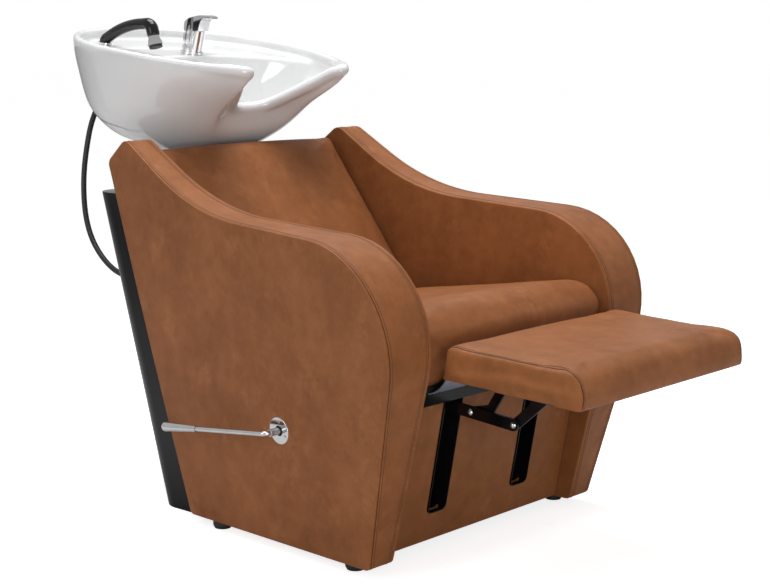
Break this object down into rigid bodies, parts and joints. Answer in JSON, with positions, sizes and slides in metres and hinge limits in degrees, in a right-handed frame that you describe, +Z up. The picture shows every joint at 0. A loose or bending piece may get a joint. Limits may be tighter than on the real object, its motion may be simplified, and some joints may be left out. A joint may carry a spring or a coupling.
{
  "type": "hair washing bed",
  "caption": "Upholstered salon wash chair with flared arm panels, a folding leg rest on a linkage, a leaning rear column and a tilting ceramic basin with tap and hand shower.",
  "frame": {"origin": "on the floor under the middle of the object's box, with the leg rest out", "axes": "+X to the sitter's left, +Y from the front to the rear, +Z up; the chair is symmetrical about X = 0 except for the side lever, the hand shower and its hose"},
  "size_m": [0.79, 1.4377, 0.9938],
  "materials": {
    "leather": "satin",
    "ceramic": "gloss",
    "black_steel": "satin",
    "grey_steel": "satin",
    "dark_tube": "satin",
    "chrome": "polished",
    "zinc": "brushed",
    "plywood": "raw",
    "black_plastic": "gloss",
    "matte_black": "matte",
    "white_plastic": "matte",
    "rubber": "matte"
  },
  "bodies": {
    "chair": {"side_panel_left": "leather", "side_panel_right": "leather", "side_board_left": "plywood", "side_board_right": "plywood", "feet_front": "matte_black", "feet_rear": "matte_black", "lower_rail_left": "dark_tube", "lower_rail_right": "dark_tube", "cross_rails": "dark_tube", "frame_posts": "dark_tube", "seat_side_rails": "dark_tube", "seat_front_rail": "black_steel", "seat_board": "matte_black", "seat_cushion": "leather", "back_board": "plywood", "back_cushion": "leather", "kick_panel": "leather", "slot_liner_left": "black_steel", "slot_liner_right": "black_steel", "seat_apron": "grey_steel", "bearing_plates": "dark_tube", "rear_cover": "black_steel", "rear_cover_cap": "black_steel", "cover_screws": "black_steel", "mast": "dark_tube", "basin_bracket": "dark_tube", "tilt_pins": "zinc", "hose_gland": "matte_black", "lever_plate": "chrome", "lever_plate_screws": "chrome", "shower_hose": "rubber"},
    "lever": {"lever_shaft": "zinc", "lever_rod": "chrome", "lever_grip": "chrome"},
    "leg_arm": {"arm_shaft": "zinc", "leg_arms": "black_steel", "arm_bolts": "chrome"},
    "drive_rod": {"drive_rods": "black_steel"},
    "front_link": {"front_links": "black_steel"},
    "rear_link": {"rear_links": "black_steel"},
    "leg_pad": {"legrest_board": "matte_black", "legrest_cushion": "leather", "pad_brackets": "black_steel"},
    "wash_basin": {"basin": "ceramic", "basin_gasket": "rubber", "basin_cradle": "dark_tube", "drain_flange": "chrome", "drain_tailpiece": "white_plastic", "mixer_body": "chrome", "mixer_backnut": "zinc", "shower_holder": "chrome"},
    "strainer": {"drain_strainer": "chrome"},
    "cartridge": {"mixer_cartridge": "chrome"},
    "tap_lever": {"mixer_lever": "chrome"},
    "hand_shower": {"shower_handle": "black_plastic", "shower_head": "chrome", "spray_face": "matte_black"}
  },
  "joints": [
    {"name": "lever_turn", "type": "hinge", "parent": "chair", "child": "lever", "pos_m": [0, -0.106, 0.24], "axis": [1, 0, 0], "range_deg": [0, 96]},
    {"name": "leg_arm_fold", "type": "hinge", "parent": "chair", "child": "leg_arm", "pos_m": [0, -0.285, 0.2875], "axis": [1, 0, 0], "range_deg": [0, 96]},
    {"name": "drive_rod_turn", "type": "hinge", "parent": "lever", "child": "drive_rod", "pos_m": [0, -0.08521, 0.252], "axis": [1, 0, 0], "range_deg": [-96, 0]},
    {"name": "front_link_fold", "type": "hinge", "parent": "leg_arm", "child": "front_link", "pos_m": [0, -0.476, 0.271], "axis": [1, 0, 0], "range_deg": [-100.8, 0]},
    {"name": "rear_link_fold", "type": "hinge", "parent": "leg_arm", "child": "rear_link", "pos_m": [0, -0.37802, 0.27947], "axis": [1, 0, 0], "range_deg": [-100.8, 0]},
    {"name": "leg_pad_fold", "type": "hinge", "parent": "front_link", "child": "leg_pad", "pos_m": [0, -0.556, 0.341], "axis": [1, 0, 0], "range_deg": [0, 100.8]},
    {"name": "basin_tilt", "type": "hinge", "parent": "chair", "child": "wash_basin", "pos_m": [0, 0.445, 0.655], "axis": [1, 0, 0], "range_deg": [-12, 3], "deforming": ["shower_hose"]},
    {"name": "mixer_swivel", "type": "hinge", "parent": "wash_basin", "child": "cartridge", "pos_m": [0, 0.50136, 0.93464], "axis": [0, -0.1464, 0.9892], "range_deg": [-45, 45]},
    {"name": "mixer_lift", "type": "hinge", "parent": "cartridge", "child": "tap_lever", "pos_m": [0, 0.50627, 0.96977], "axis": [-1, 0, 0], "range_deg": [0, 22]},
    {"name": "shower_lift", "type": "slide", "parent": "wash_basin", "child": "hand_shower", "axis": [0, -0.1464, 0.9892], "range_m": [0, 0.045]},
    {"name": "strainer_lift", "type": "slide", "parent": "wash_basin", "child": "strainer", "axis": [0, 0, 1], "range_m": [0, 0.06]}
  ],
  "couplings": [
    {"joint": "leg_arm_fold", "follows": "lever_turn", "ratio": 1},
    {"joint": "drive_rod_turn", "follows": "lever_turn", "ratio": -1},
    {"joint": "front_link_fold", "follows": "lever_turn", "ratio": -1.05},
    {"joint": "rear_link_fold", "follows": "lever_turn", "ratio": -1.05},
    {"joint": "leg_pad_fold", "follows": "lever_turn", "ratio": 1.05}
  ]
}
